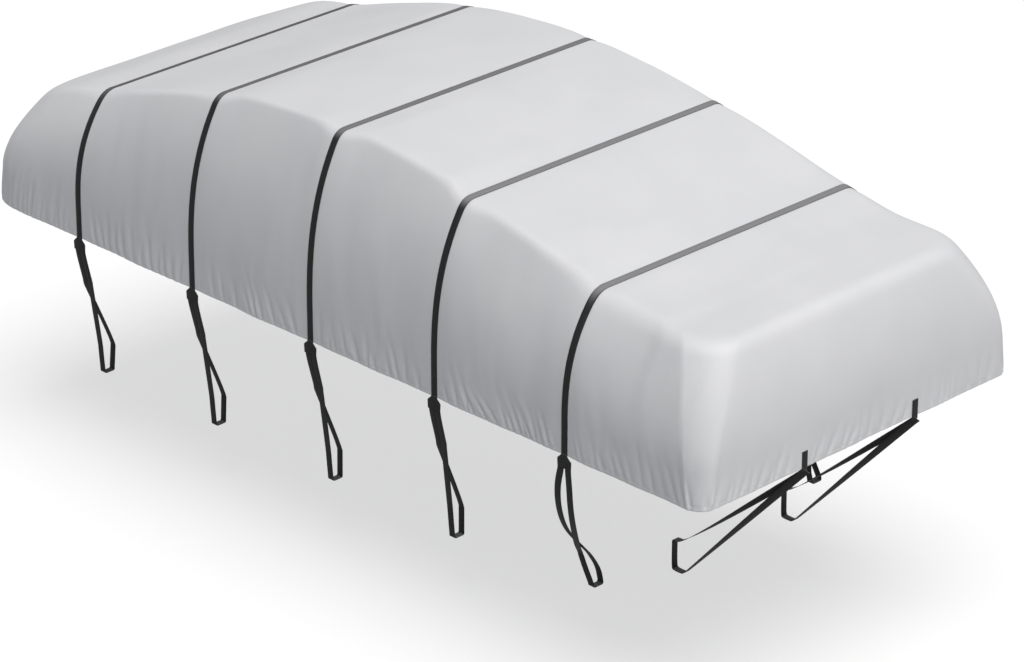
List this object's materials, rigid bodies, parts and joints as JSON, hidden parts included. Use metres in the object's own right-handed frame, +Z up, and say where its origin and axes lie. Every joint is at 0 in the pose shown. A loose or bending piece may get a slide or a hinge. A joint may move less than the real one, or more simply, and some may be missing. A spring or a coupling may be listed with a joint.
{
  "type": "boat cover",
  "caption": "Fitted fabric cover for a pontoon boat on its trailer: tall middle, rounded corners, webbing straps across it and forked webbing loops for the trailer's rails.",
  "frame": {"origin": "underside of the cloth's top on the centre line of the middle strap, where the boat's frame holds it up", "axes": "+X towards the bow, +Y to port, +Z up"},
  "size_m": [5.8585, 2.4883, 2.1373],
  "materials": {
    "cloth": "matt coated polyester",
    "webbing": "matt woven webbing"
  },
  "bodies": {
    "root": {"cover": "cloth", "strap_1": "webbing", "strap_2": "webbing", "strap_3": "webbing", "strap_4": "webbing", "strap_5": "webbing", "loop_s1": "webbing", "loop_s2": "webbing", "loop_s3": "webbing", "loop_s4": "webbing", "loop_s5": "webbing", "loop_p1": "webbing", "loop_p2": "webbing", "loop_p3": "webbing", "loop_p4": "webbing", "loop_p5": "webbing", "bow_tab_s": "webbing", "bow_tab_p": "webbing", "bow_loop_s": "webbing", "bow_loop_p": "webbing"}
  },
  "joints": []
}
